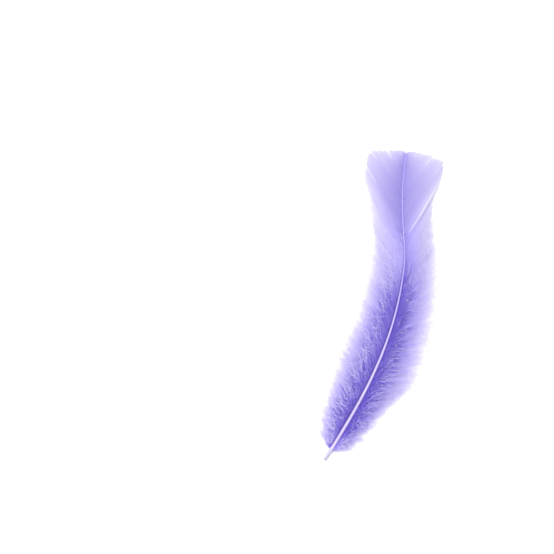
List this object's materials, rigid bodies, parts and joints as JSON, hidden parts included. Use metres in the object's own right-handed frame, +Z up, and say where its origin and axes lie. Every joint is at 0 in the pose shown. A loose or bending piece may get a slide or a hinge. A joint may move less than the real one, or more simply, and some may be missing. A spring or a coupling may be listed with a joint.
{
  "type": "rooster feather",
  "caption": "Loose dyed body feather with a curved pale shaft, fluffy down along both sides and a smooth squared tip, lying flat.",
  "frame": {"origin": "middle of the footprint, on the surface the feather lies on", "axes": "+Y from the end of the quill to the tip of the vane, +X to the right seen from above, +Z up"},
  "size_m": [0.0458, 0.1356, 0.006],
  "materials": {
    "down": "matte",
    "vane": "satin",
    "shaft": "gloss"
  },
  "bodies": {
    "root": {"feather": "down"}
  },
  "joints": []
}
